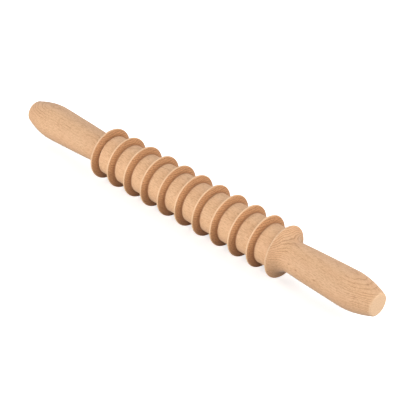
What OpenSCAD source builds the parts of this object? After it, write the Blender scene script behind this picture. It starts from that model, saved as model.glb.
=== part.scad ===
// Hand-held wooden roller massager: two turned grips glued on a dowel axle,
// with a collar and nine ridged wheels that turn freely on the axle between them.
// The long axis is X, the origin is at the middle of the axis, units are millimetres.

/* [Overall] */
// Length over both grip ends
overall_length = 395; // [375:1:430]
// Distance between the planes of the two grip flanges
flange_span = 201.5; // [196:0.5:206]

/* [Ridges and hubs] */
// Diameter over the ridges
ridge_d = 46; // [44:0.2:50]
// Width of a ridge where it meets the hub
ridge_root_w = 7.2; // [6:0.2:8.4]
// Radius of the rounded rim of a ridge
rim_r = 0.8; // [0.6:0.1:1.1]
// Diameter of the plain hub between the ridges
hub_d = 35; // [33:0.2:36.4]
// Gap between the end faces of neighbouring turning pieces
end_gap = 0.3; // [0.25:0.05:0.6]

/* [Axle] */
// Diameter of the dowel axle
axle_d = 14; // [12:0.5:16]
// Radial running clearance between the axle and the bores
running_clearance = 0.08; // [0.03:0.01:0.1]
// Depth of the glued axle socket in each grip, from its inner face
socket_depth = 42; // [30:1:55]

/* [Grips] */
// Largest diameter of a grip, near its free end
grip_d = 31.5; // [30:0.1:34]
// Diameter of the neck beside the flange
neck_d = 26.9; // [25.8:0.1:28.4]
// Diameter of the grip at its flat end
end_d = 20.6; // [18:0.2:22]
// Radius of the eased edge around the flat end
end_edge_r = 1.6; // [0.8:0.1:2]
// Distance from the flange plane to where the flare has faded into the neck
flare_len = 13; // [11:0.2:14]

/* [Hidden] */

wheel_count = 9;
pitch = flange_span / (wheel_count + 1);
half_span = flange_span / 2;
half_len = overall_length / 2;
ridge_r = ridge_d / 2;
hub_r = hub_d / 2;
axle_r = axle_d / 2;
bore_r = axle_r + running_clearance;
root = ridge_root_w / 2;
grip_len = half_len - half_span;
// the axle stops short of each socket's floor, which leaves room for glue
glue_room = 1;

beech = [0.87, 0.68, 0.50];
beech_dark = [0.80, 0.60, 0.42];
dowel = [0.83, 0.68, 0.50];

// --- profile helpers: points are [distance along the axis, radius] ---

// angle of the flank's tangent point on the rim circle, measured from the axis
flank_drop = ridge_r - rim_r - hub_r;
flank_tilt = atan2(flank_drop, root) + asin(rim_r / sqrt(root * root + flank_drop * flank_drop));
rim_side = 90 - flank_tilt;

// rim arc of a ridge whose plane is at x0, from angle a0 down to angle a1
function rim_arc(x0, a0, a1, n = 8) =
    [for (i = [0:n]) let (a = a0 + (a1 - a0) * i / n)
        [x0 + rim_r * cos(a), ridge_r - rim_r + rim_r * sin(a)]];

// a whole ridge, from its left root to its right root
function ridge(x0) = concat(
    [[x0 - root, hub_r]],
    rim_arc(x0, 180 - rim_side, rim_side),
    [[x0 + root, hub_r]]);

function bez(p0, p1, p2, p3, t) =
    (1 - t) * (1 - t) * (1 - t) * p0 + 3 * (1 - t) * (1 - t) * t * p1
    + 3 * (1 - t) * t * t * p2 + t * t * t * p3;

// grip stations: [distance from the free end, radius]; they stretch with the grip's length
function grip_stations() =
    let (n = neck_d / 2, g = grip_d / 2, e = end_d / 2, l = grip_len - flare_len, k = l / 83.75) [
    [end_edge_r * 0.95, e],
    [6 * k, e + (g - e) * 0.3],
    [13 * k, e + (g - e) * 0.65],
    [19 * k, e + (g - e) * 0.87],
    [27 * k, g],
    [40 * k, n + (g - n) * 0.83],
    [56 * k, n + (g - n) * 0.57],
    [72 * k, n + (g - n) * 0.28],
    [l, n]];

// slope of the smooth curve through station i
function slope(s, i) =
    i == 0 ? (s[1][1] - s[0][1]) / (s[1][0] - s[0][0]) :
    i == len(s) - 1 ? (s[i][1] - s[i - 1][1]) / (s[i][0] - s[i - 1][0]) :
    let (a = (s[i][1] - s[i - 1][1]) / (s[i][0] - s[i - 1][0]),
         b = (s[i + 1][1] - s[i][1]) / (s[i + 1][0] - s[i][0]))
    a * b <= 0 ? 0 : 2 * a * b / (a + b);

function herm(s, i, t) =
    let (h = s[i + 1][0] - s[i][0])
    [s[i][0] + h * t,
     (2 * t * t * t - 3 * t * t + 1) * s[i][1] + (t * t * t - 2 * t * t + t) * h * slope(s, i)
     + (3 * t * t - 2 * t * t * t) * s[i + 1][1] + (t * t * t - t * t) * h * slope(s, i + 1)];

// outline of the right grip from its inner shoulder to its flat end
function handle_outline() =
    let (x0 = half_span, s = grip_stations(), last = len(s) - 1,
         neck = [half_len - s[last][0], s[last][1]],
         k = -slope(s, last),
         a1 = 16,
         p0 = [x0 + rim_r * cos(a1), ridge_r - rim_r + rim_r * sin(a1)],
         p1 = p0 + 7.5 * [sin(a1), -cos(a1)],
         p2 = neck - 5.6 * [1, k])
    concat(
        [[x0 - root, hub_r]],
        rim_arc(x0, 180 - rim_side, a1),
        [for (i = [1:10]) bez(p0, p1, p2, neck, i / 10)],
        [for (i = [last - 1:-1:0]) for (j = [3:-1:0])
            let (q = herm(s, i, j / 4)) [half_len - q[0], q[1]]],
        [for (i = [1:4]) let (a = 90 * i / 4)
            [half_len - end_edge_r * 0.95 * (1 - sin(a)),
             end_d / 2 - end_edge_r * (1 - cos(a))]]);

// solid of revolution about X from points [x, r]
module turned(pts) {
    rotate([0, 90, 0]) rotate_extrude($fn = 96) polygon([for (p = pts) [p[1], p[0]]]);
}

// --- pieces ---

// one grip with its flare, flange ridge, shoulder and blind axle socket, on the +X side
module grip() {
    face = half_span - root;
    turned(concat(
        [[face, axle_r]],
        handle_outline(),
        [[half_len, 0], [face + socket_depth, 0], [face + socket_depth, axle_r]]));
}

// far grip
module left_handle() {
    color(beech) mirror([1, 0, 0]) grip();
}

// near grip
module right_handle() {
    color(beech) grip();
}

// plain dowel, glued into both grips
module axle_rod() {
    l = flange_span - 2 * root + 2 * (socket_depth - glue_room);
    color(dowel) rotate([0, 90, 0]) cylinder(h = l, r = axle_r, center = true, $fn = 96);
}

// plain hub between the far grip and the first wheel
module end_collar() {
    x0 = -half_span + root + end_gap;
    x1 = -half_span + pitch - root - end_gap;
    color(beech_dark) turned([[x0, bore_r], [x0, hub_r], [x1, hub_r], [x1, bore_r]]);
}

// wheel i: a ridge and the length of hub on its right, bored for the axle
module massage_wheel(i) {
    x0 = -half_span + i * pitch;
    x1 = x0 + pitch - root - end_gap;
    color(beech) turned(concat(
        [[x0 - root, bore_r]],
        ridge(x0),
        [[x1, hub_r], [x1, bore_r]]));
}

left_handle();
right_handle();
axle_rod();
end_collar();
massage_wheel(1);  // massage_wheel_1
massage_wheel(2);  // massage_wheel_2
massage_wheel(3);  // massage_wheel_3
massage_wheel(4);  // massage_wheel_4
massage_wheel(5);  // massage_wheel_5
massage_wheel(6);  // massage_wheel_6
massage_wheel(7);  // massage_wheel_7
massage_wheel(8);  // massage_wheel_8
massage_wheel(9);  // massage_wheel_9
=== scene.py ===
import math

import bpy
import numpy as np
from mathutils import Matrix, Vector


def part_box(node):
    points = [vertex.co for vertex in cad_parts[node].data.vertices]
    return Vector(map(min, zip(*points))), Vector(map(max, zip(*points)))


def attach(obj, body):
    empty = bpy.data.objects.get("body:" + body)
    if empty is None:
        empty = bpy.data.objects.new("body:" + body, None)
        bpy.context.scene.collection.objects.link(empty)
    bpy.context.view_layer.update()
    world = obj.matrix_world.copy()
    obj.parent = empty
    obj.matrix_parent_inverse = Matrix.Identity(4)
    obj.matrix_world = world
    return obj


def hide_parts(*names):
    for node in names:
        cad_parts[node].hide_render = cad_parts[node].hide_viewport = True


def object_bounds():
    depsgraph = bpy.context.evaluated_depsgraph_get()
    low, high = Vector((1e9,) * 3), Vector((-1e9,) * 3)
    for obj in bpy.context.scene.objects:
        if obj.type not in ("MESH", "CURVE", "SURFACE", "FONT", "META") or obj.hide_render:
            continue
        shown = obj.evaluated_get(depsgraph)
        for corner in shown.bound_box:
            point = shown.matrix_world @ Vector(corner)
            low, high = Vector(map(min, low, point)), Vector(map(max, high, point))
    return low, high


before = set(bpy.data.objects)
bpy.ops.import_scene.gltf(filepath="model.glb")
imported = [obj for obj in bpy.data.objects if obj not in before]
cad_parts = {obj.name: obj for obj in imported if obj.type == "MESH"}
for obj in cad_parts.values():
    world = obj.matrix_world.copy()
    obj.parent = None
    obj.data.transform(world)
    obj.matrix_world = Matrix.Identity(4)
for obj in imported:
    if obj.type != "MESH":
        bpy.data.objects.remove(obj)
cad_lo, cad_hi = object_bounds()

# ------------------------------------------------------------------ sizes
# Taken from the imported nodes, in millimetres.


def mm_box(node):
    lo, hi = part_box(node)
    return [v * 1000 for v in lo], [v * 1000 for v in hi]


WHEELS = ["massage_wheel_%d" % i for i in range(1, 10)]
HALF_LEN = mm_box("right_handle")[1][0]
FACE = mm_box("right_handle")[0][0]
RIDGE_R = mm_box("massage_wheel_1")[1][2]
HUB_R = mm_box("end_collar")[1][2]
AXLE_R = mm_box("axle_rod")[1][2]
PITCH = mm_box("massage_wheel_2")[0][0] - mm_box("massage_wheel_1")[0][0]
ROOT = 3.6
RIM_R = 0.8
HALF_SPAN = FACE + ROOT
BORE_R = AXLE_R + 0.08
SOCKET = 42.0
GRIP_R, NECK_R, END_R, END_EDGE = 15.75, 13.45, 10.3, 1.6
FLARE = 13.0
SEG = 192

# ------------------------------------------------------------------ profiles
# A profile point is (x, r, flank, rim, endgrain, flare, crease_shade): the last five are
# 0..1 and drive the wood's tone, with painted shade on the flanks and in the root corners and a painted highlight on
# the rims.


def arc(cx, cr, rad, a0, a1, n):
    return [(cx + rad * math.cos(math.radians(a0 + (a1 - a0) * i / n)),
             cr + rad * math.sin(math.radians(a0 + (a1 - a0) * i / n))) for i in range(n + 1)]


def line(p, q, n, skip_first=True):
    return [(p[0] + (q[0] - p[0]) * i / n, p[1] + (q[1] - p[1]) * i / n)
            for i in range(1 if skip_first else 0, n + 1)]


_drop = RIDGE_R - RIM_R - HUB_R
TILT = math.degrees(math.atan2(_drop, ROOT)) + math.degrees(math.asin(RIM_R / math.hypot(ROOT, _drop)))
SIDE = 90 - TILT


def fillet(p, a, b, rad, n=5):
    """Points that round the corner p between the directions to a and b."""
    p, a, b = (np.array(v, float) for v in (p, a, b))
    u, v = (a - p) / np.linalg.norm(a - p), (b - p) / np.linalg.norm(b - p)
    half = math.acos(max(-1, min(1, float(u @ v)))) / 2
    t = rad / math.tan(half)
    s, e = p + u * t, p + v * t
    c = p + (u + v) / np.linalg.norm(u + v) * rad / math.sin(half)
    a0 = math.atan2(*(s - c)[::-1])
    a1 = math.atan2(*(e - c)[::-1])
    while a1 - a0 > math.pi:
        a1 -= 2 * math.pi
    while a1 - a0 < -math.pi:
        a1 += 2 * math.pi
    return [(c[0] + rad * math.cos(a0 + (a1 - a0) * i / n), c[1] + rad * math.sin(a0 + (a1 - a0) * i / n))
            for i in range(n + 1)]


def ridge_half_left(x0):
    """Left flank, from the root up to the rim, then over the rim's left half."""
    root = (x0 - ROOT, HUB_R)
    tip = arc(x0, RIDGE_R - RIM_R, RIM_R, 180 - SIDE, 90, 10)
    return line(root, tip[0], 12, False)[:-1] + tip


def ridge_half_right(x0, hub_to):
    """Right half of the rim, then the right flank down to the rounded root corner."""
    root = (x0 + ROOT, HUB_R)
    tip = arc(x0, RIDGE_R - RIM_R, RIM_R, 90, SIDE, 10)
    corner = fillet(root, tip[-1], (hub_to, HUB_R), 0.35)
    return tip[1:] + line(tip[-1], corner[0], 12)[:-1] + corner


def bez(p0, p1, p2, p3, t):
    return (1 - t) ** 3 * p0 + 3 * (1 - t) ** 2 * t * p1 + 3 * (1 - t) * t * t * p2 + t ** 3 * p3


def grip_stations():
    n, g, e = NECK_R, GRIP_R, END_R
    return [(END_EDGE * 0.95, e), (6, e + (g - e) * 0.30), (13, e + (g - e) * 0.65), (19, e + (g - e) * 0.87),
            (27, g), (40, n + (g - n) * 0.83), (56, n + (g - n) * 0.57), (72, n + (g - n) * 0.28),
            (HALF_LEN - HALF_SPAN - FLARE, n)]


def slope(s, i):
    if i == 0:
        return (s[1][1] - s[0][1]) / (s[1][0] - s[0][0])
    if i == len(s) - 1:
        return (s[i][1] - s[i - 1][1]) / (s[i][0] - s[i - 1][0])
    a = (s[i][1] - s[i - 1][1]) / (s[i][0] - s[i - 1][0])
    b = (s[i + 1][1] - s[i][1]) / (s[i + 1][0] - s[i][0])
    return 0 if a * b <= 0 else 2 * a * b / (a + b)


def grip_profile():
    """Outside of the right grip, from its inner face's rim to the pole of its flat end."""
    s = grip_stations()
    last = len(s) - 1
    neck = np.array([HALF_LEN - s[last][0], s[last][1]])
    k = -slope(s, last)
    a1 = math.radians(16)
    p0 = np.array([HALF_SPAN + RIM_R * math.cos(a1), RIDGE_R - RIM_R + RIM_R * math.sin(a1)])
    p1 = p0 + 7.5 * np.array([math.sin(a1), -math.cos(a1)])
    p2 = neck - 5.6 * np.array([1, k])
    pts = ridge_half_left(HALF_SPAN)
    pts += arc(HALF_SPAN, RIDGE_R - RIM_R, RIM_R, 90, 16, 10)[1:]
    pts += [tuple(bez(p0, p1, p2, neck, i / 36)) for i in range(1, 37)]
    for i in range(last - 1, -1, -1):
        h = s[i + 1][0] - s[i][0]
        n = max(4, int(h / 1.1))
        for j in range(n - 1, -1, -1):
            t = j / n
            x = s[i][0] + h * t
            r = ((2 * t ** 3 - 3 * t * t + 1) * s[i][1] + (t ** 3 - 2 * t * t + t) * h * slope(s, i)
                 + (3 * t * t - 2 * t ** 3) * s[i + 1][1] + (t ** 3 - t * t) * h * slope(s, i + 1))
            pts.append((HALF_LEN - x, r))
    for i in range(1, 13):
        a = math.radians(90 * i / 12)
        pts.append((HALF_LEN - END_EDGE * 0.95 * (1 - math.sin(a)), END_R - END_EDGE * (1 - math.cos(a))))
    r_flat = pts[-1][1]
    pts += [(HALF_LEN, r_flat * (1 - i / 6)) for i in range(1, 6)] + [(HALF_LEN, 0.0)]
    return pts


def smoothstep(a, b, v):
    t = min(1.0, max(0.0, (v - a) / (b - a)))
    return t * t * (3 - 2 * t)


def tones(pts):
    """Adds the tone weights to (x, r) points. A flank lies between hub and rim, inside the two flanges."""
    out = []
    for x, r in pts:
        flank = rim = crease_shade = 0.0
        k = round((x + HALF_SPAN) / PITCH)
        d = abs(x - (-HALF_SPAN + k * PITCH))
        if r > HUB_R - 0.02 and d < ROOT + 0.02 and abs(x) <= HALF_SPAN + 0.8:
            # rim: where the painted highlight goes, a paler colour along the ridge tops
            rim = smoothstep(RIDGE_R - 0.50, RIDGE_R - 0.22, r)
            # flank: browner wood on the flanks, darkened partly by painted shade of the grooves
            if abs(x) <= HALF_SPAN:
                flank = (1 - smoothstep(RIDGE_R - 0.80, RIDGE_R - 0.50, r)) * smoothstep(ROOT + 0.02, ROOT - 0.25, d)
        # crease_shade: painted shade, darker in the root corners and up the lower part of each flank
        if r > HUB_R - 0.4 and abs(x) < HALF_SPAN:
            crease_shade = 1 - smoothstep(0.12, 0.60, math.hypot(d - ROOT, r - HUB_R))
            if d < ROOT:
                crease_shade = max(crease_shade, 0.72 * (1 - smoothstep(0.0, 2.6, r - HUB_R)))
        end = smoothstep(HALF_LEN - 2.2, HALF_LEN - 0.1, abs(x))
        flare = smoothstep(HALF_SPAN + FLARE + 2.0, HALF_SPAN + 4.5, abs(x)) if abs(x) > HALF_SPAN + 0.1 else 0.0
        flare = max(flare, 0.55 * smoothstep(HALF_LEN - 36, HALF_LEN - 12, abs(x)))
        out.append((x, r, flank, rim, end, flare, crease_shade))
    return out


def mirrored(pts):
    return [(-x, r) for x, r in pts[::-1]]


# ------------------------------------------------------------------ meshes

def lathe(name, pts, seg=SEG):
    """Closed solid of revolution about X from an outline in millimetres. The outline starts and
    ends on the axis, or is a closed loop clear of it. It runs so that the wood is on its right."""
    prof = tones(pts)
    poles = prof[0][1] == 0.0 and prof[-1][1] == 0.0
    verts, rows, weights = [], [], []
    for x, r, *w in prof:
        if r == 0.0:
            rows.append([len(verts)])
            verts.append((x / 1000, 0.0, 0.0))
            weights.append(w)
        else:
            rows.append(list(range(len(verts), len(verts) + seg)))
            for j in range(seg):
                a = 2 * math.pi * j / seg
                verts.append((x / 1000, r / 1000 * math.cos(a), r / 1000 * math.sin(a)))
                weights.append(w)
    faces = []
    pairs = list(zip(rows[:-1], rows[1:]))
    if not poles:
        pairs.append((rows[-1], rows[0]))
    for a, b in pairs:
        for j in range(seg):
            k = (j + 1) % seg
            if len(a) == 1:
                faces.append((a[0], b[j], b[k]))
            elif len(b) == 1:
                faces.append((a[j], b[0], a[k]))
            else:
                faces.append((a[j], b[j], b[k], a[k]))
    me = bpy.data.meshes.new(name)
    me.from_pydata(verts, [], faces)
    for n, attr in enumerate(("flank", "rim", "endgrain", "flare", "crease_shade")):
        layer = me.attributes.new(attr, "FLOAT", "POINT")
        layer.data.foreach_set("value", [w[n] for w in weights])
    me.validate()
    me.update()
    import bmesh
    bm = bmesh.new()
    bm.from_mesh(me)
    bmesh.ops.recalc_face_normals(bm, faces=bm.faces)
    bm.to_mesh(me)
    bm.free()
    me.polygons.foreach_set("use_smooth", [True] * len(me.polygons))
    me.set_sharp_from_angle(angle=math.radians(34))
    ob = bpy.data.objects.new(name, me)
    bpy.context.scene.collection.objects.link(ob)
    return ob


def wheel_outline(x0):
    x1 = x0 + PITCH - ROOT - 0.3
    left = x0 - ROOT
    ease = fillet((x1, HUB_R), (x0, HUB_R), (x1, BORE_R), 0.25)
    pts = ridge_half_left(x0) + ridge_half_right(x0, x1)
    pts += line(pts[-1], ease[0], 14)[:-1] + ease
    pts += line(ease[-1], (x1, BORE_R + 0.4), 5)
    pts += [(x1 - 0.4, BORE_R)]
    pts += line((x1 - 0.4, BORE_R), (left + 0.4, BORE_R), 8)
    pts += [(left, BORE_R + 0.4)]
    pts += line((left, BORE_R + 0.4), (left, HUB_R), 5)[:-1]
    return pts


def collar_outline():
    x0, x1 = -HALF_SPAN + ROOT + 0.3, -HALF_SPAN + PITCH - ROOT - 0.3
    a = fillet((x0, HUB_R), (x0, BORE_R), (x1, HUB_R), 0.25)
    b = fillet((x1, HUB_R), (x0, HUB_R), (x1, BORE_R), 0.25)
    pts = a + line(a[-1], b[0], 14)[:-1] + b
    pts += line(b[-1], (x1, BORE_R + 0.4), 5)
    pts += [(x1 - 0.4, BORE_R)] + line((x1 - 0.4, BORE_R), (x0 + 0.4, BORE_R), 8)
    pts += [(x0, BORE_R + 0.4)] + line((x0, BORE_R + 0.4), a[0], 5)[:-1]
    return pts


def grip_outline():
    out = grip_profile()
    inner = [(FACE + SOCKET, 0.0), (FACE + SOCKET, AXLE_R * 0.5)]
    inner += line((FACE + SOCKET, AXLE_R * 0.5), (FACE + SOCKET, AXLE_R), 2)
    inner += line((FACE + SOCKET, AXLE_R), (FACE, AXLE_R), 20)
    inner += line((FACE, AXLE_R), (FACE, HUB_R), 6)[:-1]
    return inner + out


def axle_outline():
    h = mm_box("axle_rod")[1][0]
    c = 1.0
    pts = [(-h, 0.0), (-h, (AXLE_R - c) / 2), (-h, AXLE_R - c)]
    pts += [(-h + c, AXLE_R)] + line((-h + c, AXLE_R), (h - c, AXLE_R), 60)
    pts += [(h, AXLE_R - c), (h, (AXLE_R - c) / 2), (h, 0.0)]
    return pts


# ------------------------------------------------------------------ wood

class Tree:
    """Small helper to write shader trees in a line or two each."""

    def __init__(self, mat):
        self.t = mat.node_tree
        self.t.nodes.clear()

    def node(self, kind, **props):
        n = self.t.nodes.new(kind)
        for k, v in props.items():
            setattr(n, k, v)
        return n

    def link(self, a, b):
        self.t.links.new(a, b)

    def put(self, socket, v):
        if isinstance(v, bpy.types.NodeSocket):
            self.link(v, socket)
        elif v is not None:
            socket.default_value = v

    def math(self, op, a, b=None, c=None, clamp=False):
        n = self.node("ShaderNodeMath", operation=op, use_clamp=clamp)
        self.put(n.inputs[0], a)
        if b is not None:
            self.put(n.inputs[1], b)
        if c is not None:
            self.put(n.inputs[2], c)
        return n.outputs[0]

    def vec(self, op, a, b=None):
        n = self.node("ShaderNodeVectorMath", operation=op)
        self.put(n.inputs[0], a)
        if b is not None:
            self.put(n.inputs[1], b)
        return n.outputs["Value"] if op == "DOT_PRODUCT" else n.outputs["Vector"]

    def noise(self, v, scale, detail=2.0, rough=0.5, distort=0.0):
        n = self.node("ShaderNodeTexNoise", noise_dimensions="3D")
        self.link(v, n.inputs["Vector"])
        n.inputs["Scale"].default_value = scale
        n.inputs["Detail"].default_value = detail
        n.inputs["Roughness"].default_value = rough
        n.inputs["Distortion"].default_value = distort
        return n.outputs["Fac"]

    def ramp(self, v, lo, hi, out0=0.0, out1=1.0, kind="SMOOTHSTEP"):
        n = self.node("ShaderNodeMapRange", interpolation_type=kind)
        self.put(n.inputs["Value"], v)
        for k, x in (("From Min", lo), ("From Max", hi), ("To Min", out0), ("To Max", out1)):
            n.inputs[k].default_value = x
        return n.outputs["Result"]

    def mix(self, fac, a, b, mode="MIX"):
        n = self.node("ShaderNodeMix", data_type="RGBA", blend_type=mode)
        self.put(n.inputs[0], fac)
        self.put(n.inputs[6], a)
        self.put(n.inputs[7], b)
        return n.outputs[2]

    def attr(self, name):
        n = self.node("ShaderNodeAttribute", attribute_type="GEOMETRY", attribute_name=name)
        return n.outputs["Fac"]


KNOTS = ((144.8, -14.5, 3.3), (125.2, -13.9, 2.3), (117.1, -13.1, 3.6))


def beech(name, light, dark, flank, end, shift=(0.0, 0.0, 0.0), rough=0.60):
    """Turned beech as one solid field in the frame's own coordinates, so that grain runs through
    a piece: growth layers seen as lines along the grain and as arcs over a flare, ray flecks,
    fine fibre, pores, and a browner cut face on the ridges' flanks that is darker partly as painted
    shade, with a painted highlight on the rims and painted shade in the corners beside the hubs."""
    mat = bpy.data.materials.new(name)
    mat.use_nodes = True
    t = Tree(mat)
    co = t.node("ShaderNodeTexCoord").outputs["Object"]
    p = t.vec("MULTIPLY", co, (1000.0, 1000.0, 1000.0))
    p = t.vec("ADD", p, shift)
    # axes of the wood: x along the grain, n across the growth layers, s along the layers
    sep = t.node("ShaderNodeSeparateXYZ")
    t.link(p, sep.inputs[0])
    x = sep.outputs[0]
    n0 = t.vec("DOT_PRODUCT", p, (0.0, 0.177, 0.984))
    s0 = t.vec("DOT_PRODUCT", p, (0.0, -0.984, 0.177))
    # slow bends of the layers along the grain and across it
    slow = t.node("ShaderNodeCombineXYZ")
    t.link(t.math("MULTIPLY", x, 0.020), slow.inputs[0])
    t.link(t.math("MULTIPLY", n0, 0.035), slow.inputs[1])
    t.link(t.math("MULTIPLY", s0, 0.035), slow.inputs[2])
    bend = t.noise(slow.outputs[0], 1.0, 2.0, 0.5)
    ripple_v = t.node("ShaderNodeCombineXYZ")
    t.link(t.math("MULTIPLY", x, 0.085), ripple_v.inputs[0])
    t.link(t.math("MULTIPLY", n0, 0.16), ripple_v.inputs[1])
    t.link(t.math("MULTIPLY", s0, 0.16), ripple_v.inputs[2])
    ripple = t.noise(ripple_v.outputs[0], 1.0, 3.0, 0.55)
    # layers curve gently about a far pith
    curve = t.math("MULTIPLY", t.math("MULTIPLY", s0, s0), 0.0042)
    depth = t.math("ADD", n0, curve)
    depth = t.math("ADD", depth, t.math("MULTIPLY", bend, 7.0))
    depth = t.math("ADD", depth, t.math("MULTIPLY", ripple, 1.6))
    depth = t.math("ADD", depth, t.math("MULTIPLY", x, 0.012))
    lay_v = t.node("ShaderNodeCombineXYZ")
    t.link(depth, lay_v.inputs[0])
    year = t.noise(lay_v.outputs[0], 0.22, 1.0, 0.5)
    phase = t.math("FRACT", t.math("ADD", t.math("DIVIDE", depth, 1.62), t.math("MULTIPLY", year, 1.4)))
    late = t.ramp(phase, 0.55, 0.90)
    cut = t.ramp(phase, 0.90, 1.0, 1.0, 0.0)
    layer = t.math("MULTIPLY", late, cut)
    dash_v = t.node("ShaderNodeCombineXYZ")
    t.link(t.math("MULTIPLY", x, 0.16), dash_v.inputs[0])
    t.link(t.math("MULTIPLY", n0, 0.6), dash_v.inputs[1])
    t.link(t.math("MULTIPLY", s0, 0.6), dash_v.inputs[2])
    dash = t.ramp(t.noise(dash_v.outputs[0], 1.0, 2.0, 0.5), 0.36, 0.62, 0.25, 1.35)
    # strands along the grain
    st_v = t.node("ShaderNodeCombineXYZ")
    t.link(t.math("MULTIPLY", x, 0.22), st_v.inputs[0])
    t.link(t.math("ADD", n0, t.math("MULTIPLY", ripple, 3.0)), st_v.inputs[1])
    t.link(t.math("ADD", s0, t.math("MULTIPLY", bend, 4.0)), st_v.inputs[2])
    strand = t.noise(st_v.outputs[0], 1.7, 2.0, 0.6)
    fibre_v = t.node("ShaderNodeCombineXYZ")
    t.link(t.math("MULTIPLY", x, 0.06), fibre_v.inputs[0])
    t.link(n0, fibre_v.inputs[1])
    t.link(s0, fibre_v.inputs[2])
    fibre = t.noise(fibre_v.outputs[0], 5.5, 2.0, 0.6)
    # ray flecks: thin along the layers, long across them, short along the grain
    ray_v = t.node("ShaderNodeCombineXYZ")
    t.link(t.math("MULTIPLY", x, 0.36), ray_v.inputs[0])
    t.link(t.math("MULTIPLY", n0, 0.22), ray_v.inputs[1])
    t.link(t.math("ADD", s0, t.math("MULTIPLY", ripple, 1.5)), ray_v.inputs[2])
    rays = t.ramp(t.noise(ray_v.outputs[0], 1.7, 2.0, 0.55), 0.59, 0.72)
    # rare small pin knots, drawn out along the grain, and the three on the near grip
    pin_v = t.node("ShaderNodeCombineXYZ")
    t.link(t.math("MULTIPLY", x, 0.030), pin_v.inputs[0])
    t.link(t.math("MULTIPLY", n0, 0.075), pin_v.inputs[1])
    t.link(t.math("MULTIPLY", s0, 0.075), pin_v.inputs[2])
    vor = t.node("ShaderNodeTexVoronoi", feature="F1", distance="EUCLIDEAN")
    t.link(pin_v.outputs[0], vor.inputs["Vector"])
    vor.inputs["Scale"].default_value = 1.0
    pins = t.math("MULTIPLY", t.ramp(vor.outputs["Distance"], 0.02, 0.075, 1.0, 0.0), 0.6)
    for kx, ky, kz in KNOTS:
        off = t.vec("SUBTRACT", p, (kx, ky, kz))
        off = t.vec("MULTIPLY", off, (0.55, 1.0, 1.0))
        far = t.node("ShaderNodeVectorMath", operation="LENGTH")
        t.link(off, far.inputs[0])
        pins = t.math("MAXIMUM", pins, t.ramp(far.outputs["Value"], 0.25, 1.0, 1.0, 0.0))
    # broad drift of tone
    drift = t.noise(slow.outputs[0], 2.4, 2.0, 0.5)
    blush = t.noise(ripple_v.outputs[0], 0.45, 2.0, 0.5)

    fr = t.attr("flare")
    amount = t.math("MULTIPLY", t.math("MULTIPLY", layer, dash), t.math("ADD", t.math("MULTIPLY", fr, 0.30), 0.27))
    amount = t.math("ADD", amount, t.math("MULTIPLY", t.math("MULTIPLY", layer, fr), 0.54))
    amount = t.math("ADD", amount, t.ramp(strand, 0.42, 0.64, -0.08, 0.42))
    amount = t.math("ADD", amount, t.math("MULTIPLY", rays, 0.18))
    amount = t.math("ADD", amount, t.ramp(fibre, 0.35, 0.65, -0.06, 0.12))
    amount = t.math("ADD", amount, t.ramp(drift, 0.38, 0.62, -0.02, 0.06), clamp=True)
    col = t.mix(amount, light, dark)
    col = t.mix(t.ramp(blush, 0.42, 0.66, 0.0, 0.22), col,
                (light[0] * 1.0, light[1] * 0.93, light[2] * 0.93, 1.0))
    col = t.mix(t.math("MULTIPLY", pins, 0.55), col, (dark[0] * 0.72, dark[1] * 0.56, dark[2] * 0.48, 1.0))
    # flanks: browner, cut across the fibres, with the growth layers standing out, and darker partly as painted shade
    # of the grooves between the ridges
    fl = t.attr("flank")
    fl_layer = t.math("ADD", t.math("MULTIPLY", layer, 0.75), t.ramp(strand, 0.40, 0.62, -0.16, 0.60), clamp=True)
    dots = t.node("ShaderNodeCombineXYZ")
    t.link(t.math("MULTIPLY", x, 0.3), dots.inputs[0])
    t.link(n0, dots.inputs[1])
    t.link(s0, dots.inputs[2])
    pore = t.ramp(t.noise(dots.outputs[0], 2.0, 3.0, 0.65), 0.50, 0.66)
    fl_shaded_col = t.mix(fl_layer, (flank[0] * 1.18, flank[1] * 1.22, flank[2] * 1.24, 1.0),
                   (flank[0] * 0.66, flank[1] * 0.57, flank[2] * 0.48, 1.0))
    fl_shaded_col = t.mix(t.math("MULTIPLY", pore, 0.42), fl_shaded_col, (flank[0] * 0.55, flank[1] * 0.48, flank[2] * 0.42, 1.0))
    col = t.mix(fl, col, fl_shaded_col)
    # rims: painted highlight, a paler colour along the ridge tops; the sharp turned corners beside the hubs and the
    # flanks' lower parts: painted shade, a darker colour
    col = t.mix(t.math("MULTIPLY", t.attr("rim"), 0.60), col, (min(light[0] * 1.16, 0.95), light[1] * 1.26, light[2] * 1.36, 1.0))
    col = t.mix(t.math("MULTIPLY", t.attr("crease_shade"), 0.76), col, (dark[0] * 0.60, dark[1] * 0.46, dark[2] * 0.36, 1.0))
    # flat ends of the grips: pale end grain with fine pores
    eg = t.attr("endgrain")
    eg_col = t.mix(t.math("MULTIPLY", layer, 0.62), end, (end[0] * 0.86, end[1] * 0.78, end[2] * 0.70, 1.0))
    eg_col = t.mix(t.math("MULTIPLY", pore, 0.50), eg_col, (end[0] * 0.72, end[1] * 0.60, end[2] * 0.50, 1.0))
    col = t.mix(eg, col, eg_col)

    bsdf = t.node("ShaderNodeBsdfPrincipled")
    t.link(col, bsdf.inputs["Base Color"])
    rg = t.math("ADD", t.ramp(strand, 0.3, 0.7, rough - 0.05, rough + 0.07), t.math("MULTIPLY", rays, -0.06))
    rg = t.math("ADD", rg, t.math("MULTIPLY", fl, 0.08), clamp=True)
    t.link(rg, bsdf.inputs["Roughness"])
    bsdf.inputs["IOR"].default_value = 1.45
    bsdf.inputs["Specular IOR Level"].default_value = 0.28
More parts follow.
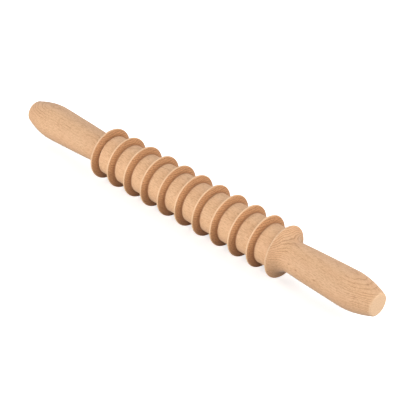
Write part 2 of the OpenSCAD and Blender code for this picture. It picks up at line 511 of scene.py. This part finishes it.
    # the sanded, unvarnished surface scatters a little pale light at grazing angles
    bsdf.inputs["Sheen Weight"].default_value = 0.22
    bsdf.inputs["Sheen Roughness"].default_value = 0.45
    bump = t.node("ShaderNodeBump")
    bump.inputs["Strength"].default_value = 0.35
    bump.inputs["Distance"].default_value = 0.00006
    height = t.math("ADD", t.math("MULTIPLY", fibre, 0.6), t.math("MULTIPLY", strand, 0.5))
    height = t.math("SUBTRACT", height, t.math("MULTIPLY", layer, 0.35))
    height = t.math("SUBTRACT", height, t.math("MULTIPLY", pins, 1.2))
    height = t.math("SUBTRACT", height, t.math("MULTIPLY", t.math("MULTIPLY", pore, 0.8), t.math("MAXIMUM", fl, eg)))
    t.link(height, bump.inputs["Height"])
    t.link(bump.outputs["Normal"], bsdf.inputs["Normal"])
    out = t.node("ShaderNodeOutputMaterial")
    t.link(bsdf.outputs[0], out.inputs["Surface"])
    return mat


LIGHT = (0.745, 0.465, 0.268, 1.0)
DARK = (0.50, 0.255, 0.125, 1.0)
# flank colour: browner cut wood, darkened partly by painted shade of the grooves
FLANK_BROWN_AND_SHADE = (0.625, 0.315, 0.148, 1.0)
END = (0.84, 0.565, 0.352, 1.0)

grip_mat = beech("beech_grip", LIGHT, DARK, FLANK_BROWN_AND_SHADE, END)
wheel_mat = beech("beech_wheel", (0.785, 0.492, 0.280, 1.0), DARK, FLANK_BROWN_AND_SHADE, END)
axle_mat = beech("beech_dowel", (0.72, 0.47, 0.27, 1.0), (0.55, 0.32, 0.17, 1.0), FLANK_BROWN_AND_SHADE, END, shift=(31.0, 55.0, 17.0), rough=0.66)

# ------------------------------------------------------------------ pieces


def add(name, outline, node, body, mat):
    ob = lathe(name, outline)
    ob.data.materials.append(mat)
    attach(ob, body)
    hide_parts(node)
    return ob


add("grip_right", grip_outline(), "right_handle", "frame", grip_mat)
add("grip_left", mirrored(grip_outline()), "left_handle", "frame", grip_mat)
add("dowel_axle", axle_outline(), "axle_rod", "frame", axle_mat)
add("hub_collar", collar_outline(), "end_collar", "end_collar", wheel_mat)
for i, w in enumerate(WHEELS, 1):
    add("ridged_wheel_%d" % i, wheel_outline(-HALF_SPAN + i * PITCH), w, w, wheel_mat)

# ------------------------------------------------------------------ stage

FLOOR_GLOW = 0.62
floor_me = bpy.data.meshes.new("floor")
S = 6.0
z = cad_lo[2]
floor_me.from_pydata([(-S, -S, z), (S, -S, z), (S, S, z), (-S, S, z)], [], [(0, 1, 2, 3)])
floor = bpy.data.objects.new("floor", floor_me)
bpy.context.scene.collection.objects.link(floor)
fm = bpy.data.materials.new("floor_white")
fm.use_nodes = True
ft = Tree(fm)
ray = ft.node("ShaderNodeLightPath").outputs["Is Camera Ray"]
matte = ft.node("ShaderNodeBsdfDiffuse")
matte.inputs["Color"].default_value = (0.3, 0.3, 0.3, 1)
pale = ft.node("ShaderNodeBsdfDiffuse")
pale.inputs["Color"].default_value = (0.9, 0.9, 0.9, 1)
glow = ft.node("ShaderNodeEmission")
away = ft.node("ShaderNodeVectorMath", operation="LENGTH")
ft.link(ft.node("ShaderNodeTexCoord").outputs["Object"], away.inputs[0])
ft.link(ft.ramp(away.outputs["Value"], 0.45, 1.2, FLOOR_GLOW, 1.0), glow.inputs["Strength"])
seen = ft.node("ShaderNodeAddShader")
ft.link(pale.outputs[0], seen.inputs[0])
ft.link(glow.outputs[0], seen.inputs[1])
pick = ft.node("ShaderNodeMixShader")
ft.link(ray, pick.inputs[0])
ft.link(matte.outputs[0], pick.inputs[1])
ft.link(seen.outputs[0], pick.inputs[2])
fo = ft.node("ShaderNodeOutputMaterial")
ft.link(pick.outputs[0], fo.inputs["Surface"])
floor_me.materials.append(fm)

world = bpy.data.worlds.new("studio")
bpy.context.scene.world = world
world.use_nodes = True
wt = Tree(world)
sky = wt.node("ShaderNodeBackground")
sky.inputs["Strength"].default_value = 0.12
white = wt.node("ShaderNodeBackground")
white.inputs["Strength"].default_value = 1.0
wmix = wt.node("ShaderNodeMixShader")
wt.link(wt.node("ShaderNodeLightPath").outputs["Is Camera Ray"], wmix.inputs[0])
wt.link(sky.outputs[0], wmix.inputs[1])
wt.link(white.outputs[0], wmix.inputs[2])
wo = wt.node("ShaderNodeOutputWorld")
wt.link(wmix.outputs[0], wo.inputs["Surface"])
for b in (sky, white):
    b.inputs["Color"].default_value = (1, 1, 1, 1)


def area(name, at, size, power, color=(1, 1, 1), target=(0, 0, 0)):
    li = bpy.data.lights.new(name, "AREA")
    li.shape = "RECTANGLE"
    li.size, li.size_y = size
    li.energy = power
    li.color = color
    ob = bpy.data.objects.new(name, li)
    ob.location = at
    ob.rotation_mode = "QUATERNION"
    ob.rotation_quaternion = (Vector(target) - Vector(at)).to_track_quat("-Z", "Y")
    bpy.context.scene.collection.objects.link(ob)
    return ob


# Soft boxes 1.6 m away: a broad key low in front, softer ones above and behind, and a low one
# beyond the near end that reaches the flare and the flat end but not the inner flanks.
area("key_low_front", (-0.40, -1.55, 0.18), (0.7, 0.4), 20.4)
for nm, d, size, power in (
        ("left_front_top", (-0.6, -0.6, 0.55), 0.7, 6.2),
        ("right_top", (0.7, 0.0, 0.7), 0.7, 3.5),
        ("right_back", (0.6, 0.5, 0.6), 0.7, 11.7),
        ("near_end", (1.0, -0.1, 0.06), 0.35, 8.3),
        ("left_back", (-0.5, 0.6, 0.6), 0.7, 8.5),
        ("end_back", (0.95, 0.15, 0.35), 0.7, 3.9)):
    area(nm, tuple(Vector(d).normalized() * 1.6), (size, size), power)

cam = bpy.data.cameras.new("camera")
cam.sensor_width = 36
cam.lens = 144.31
cam.clip_start, cam.clip_end = 0.05, 50
cam_ob = bpy.data.objects.new("camera", cam)
bpy.context.scene.collection.objects.link(cam_ob)
right = Vector((0.71847, 0.69555, 0.0))
up = Vector((-0.40727, 0.42068, 0.81065))
back = Vector((0.56385, -0.58242, 0.58553))
m = Matrix((right, up, back)).transposed().to_4x4()
m.translation = Vector((0.79104, -0.79998, 0.80484))
cam_ob.matrix_world = m
bpy.context.scene.camera = cam_ob
bpy.context.scene.view_settings.view_transform = "Standard"
bpy.context.scene.view_settings.look = "None"
